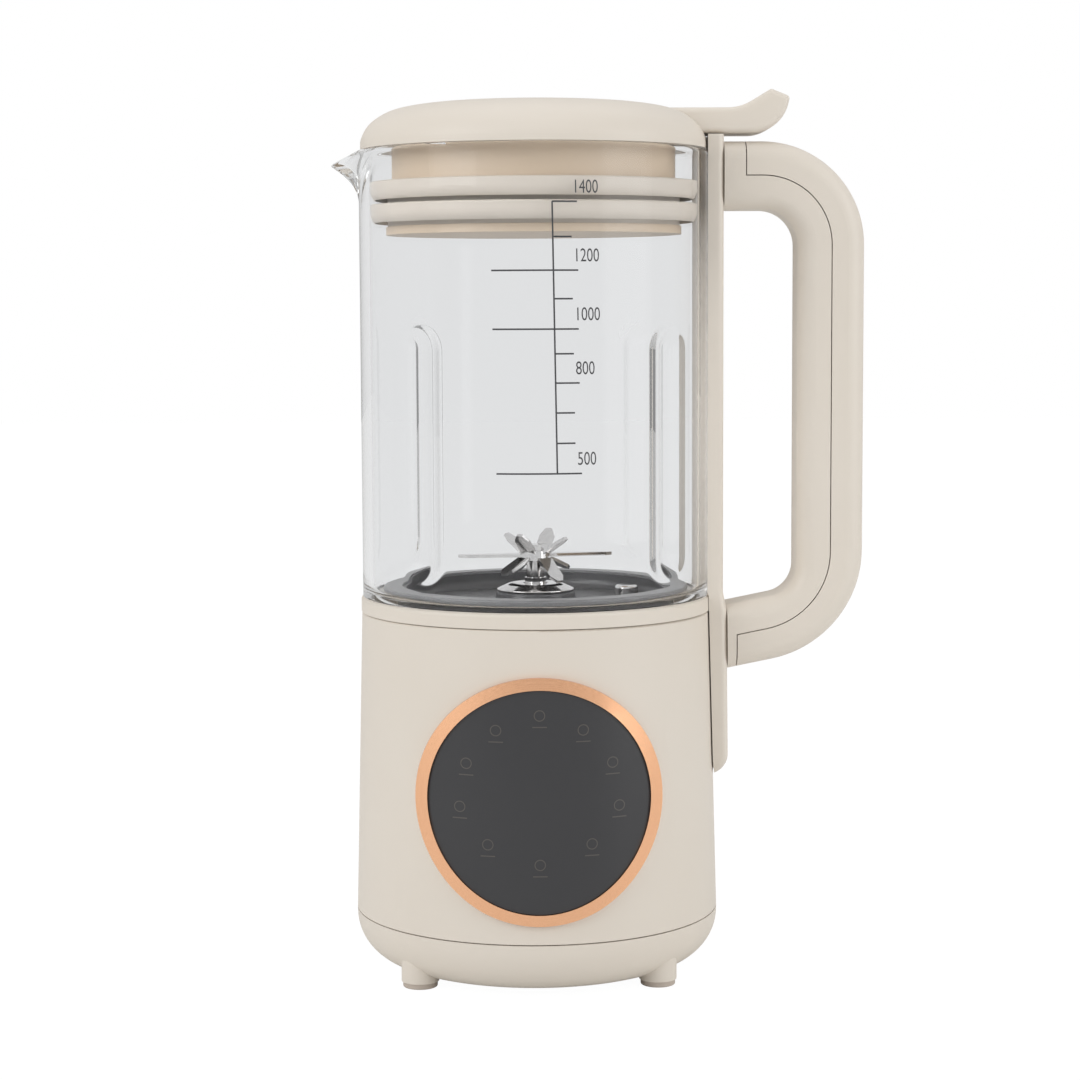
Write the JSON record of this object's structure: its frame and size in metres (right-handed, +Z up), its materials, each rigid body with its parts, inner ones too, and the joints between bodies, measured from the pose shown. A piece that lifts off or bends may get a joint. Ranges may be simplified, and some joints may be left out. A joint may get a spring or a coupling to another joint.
{
  "type": "soy milk maker",
  "caption": "Countertop soy milk maker: lidded glass jar with spout, handle, blades and heated floor, seated on a round motor base with a circular control panel.",
  "frame": {"origin": "on the surface that the four foot pads stand on, on the axis of the base and jar", "axes": "+Z up along the jar's axis, +X towards the handle, -Y towards the control panel, -X towards the spout"},
  "size_m": [0.1835, 0.1284, 0.3042],
  "materials": {
    "cream_plastic": "matte moulded",
    "lid_plastic": "satin moulded",
    "silicone_cream": "soft matte silicone",
    "silicone_grey": "satin silicone",
    "foot_rubber": "matte rubber",
    "jar_glass": "clear borosilicate",
    "panel_black": "smoked gloss",
    "rose_gold": "brushed ring",
    "steel": "brushed",
    "bowl_coating": "dark non-stick coating",
    "aluminium": "cast",
    "core_steel": "laminated",
    "copper": "enamelled winding",
    "bronze": "turned",
    "black_plastic": "moulded",
    "board_green": "circuit board",
    "carbon": "pressed carbon",
    "black_rubber": "moulded rubber",
    "magnet": "nickel plated"
  },
  "bodies": {
    "base": {"base_housing": "cream_plastic", "bottom_cover": "cream_plastic", "foot_pads": "foot_rubber", "case_screws": "steel", "top_deck": "cream_plastic", "trim_ring": "rose_gold", "panel_glass": "panel_black", "panel_carrier": "black_plastic", "control_board": "board_green", "display_module": "black_plastic", "touch_springs": "steel", "power_board": "board_green", "power_inlet": "black_plastic", "motor_bearings": "steel", "lower_bracket": "aluminium", "upper_bracket": "aluminium", "motor_grommets": "black_rubber", "motor_screws": "steel", "stator_core": "core_steel", "field_coils": "copper", "brush_holders": "bronze", "carbon_brushes": "carbon", "base_connector": "black_plastic"},
    "rotor": {"motor_shaft": "steel", "rotor_core": "core_steel", "rotor_windings": "copper", "commutator": "copper", "cooling_fan": "black_plastic", "drive_coupling": "black_plastic"},
    "jar": {"jar_connector": "black_plastic", "jar_collar": "cream_plastic", "jar_bottom_cover": "cream_plastic", "jar_screws": "steel", "glass_jar": "jar_glass", "heating_bowl": "bowl_coating", "jar_gasket": "silicone_grey", "heat_plate": "aluminium", "heating_element": "steel", "temperature_probe": "steel", "thermostat": "bronze", "bearing_seat": "aluminium", "jar_bearing": "steel", "shaft_bush": "bronze", "shaft_seal": "silicone_grey", "seat_nut": "steel", "handle_spine": "cream_plastic", "handle_inner": "cream_plastic", "handle_outer": "cream_plastic", "lid_sensor": "black_plastic"},
    "blades": {"blade_shaft": "steel", "blade_sleeve": "steel", "lower_blade": "steel", "long_blade": "steel", "upper_blade": "steel", "blade_nut": "steel", "driven_coupling": "black_plastic"},
    "lid": {"lid_cover": "cream_plastic", "lid_plug": "lid_plastic", "lid_seals": "silicone_cream", "lid_magnet": "magnet"}
  },
  "joints": [
    {"name": "rotor_spin", "type": "hinge", "parent": "base", "child": "rotor", "pos_m": [0, 0, 0.05], "axis": [0, 0, 1], "continuous": true},
    {"name": "jar_lift", "type": "slide", "parent": "base", "child": "jar", "axis": [0, 0, 1], "range_m": [0, 0.08]},
    {"name": "blade_spin", "type": "hinge", "parent": "jar", "child": "blades", "pos_m": [0, 0, 0.12], "axis": [0, 0, 1], "continuous": true},
    {"name": "lid_lift", "type": "slide", "parent": "jar", "child": "lid", "axis": [0, 0, 1], "range_m": [0, 0.045]}
  ],
  "couplings": [
    {"joint": "blade_spin", "follows": "rotor_spin", "ratio": 1}
  ]
}
